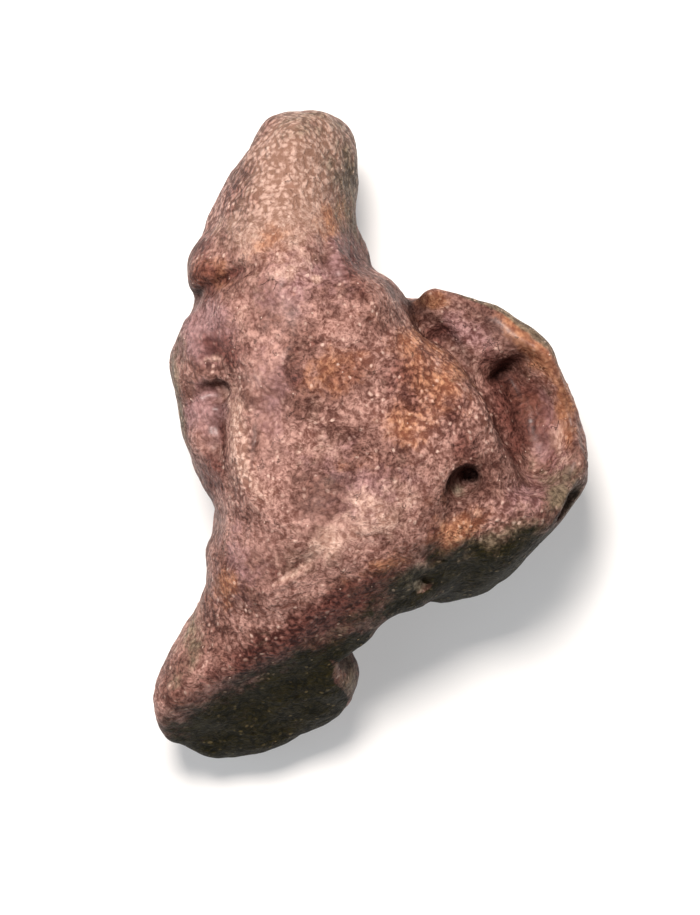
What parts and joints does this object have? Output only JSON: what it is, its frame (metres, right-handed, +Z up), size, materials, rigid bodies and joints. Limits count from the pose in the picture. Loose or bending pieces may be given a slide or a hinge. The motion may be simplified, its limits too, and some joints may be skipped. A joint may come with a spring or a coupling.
{
  "type": "fossil dolphin ear bone",
  "caption": "Dense fossil ear bone of a small dolphin: blunt front snout, thick back limb, round inner dome with a rimmed hollow for the hearing nerve.",
  "frame": {"origin": "centre of the footprint box, at the level of the flats that the bone rests on", "axes": "+Y towards the tip of the anterior process, +X towards the cochlear side, +Z up, away from the table, on the dorsal side"},
  "size_m": [0.024, 0.036, 0.0153],
  "materials": {
    "fossil_bone": "worn petrified bone with a fine granular skin and a low mineral sheen"
  },
  "bodies": {
    "root": {"ear_bone": "fossil_bone"}
  },
  "joints": []
}
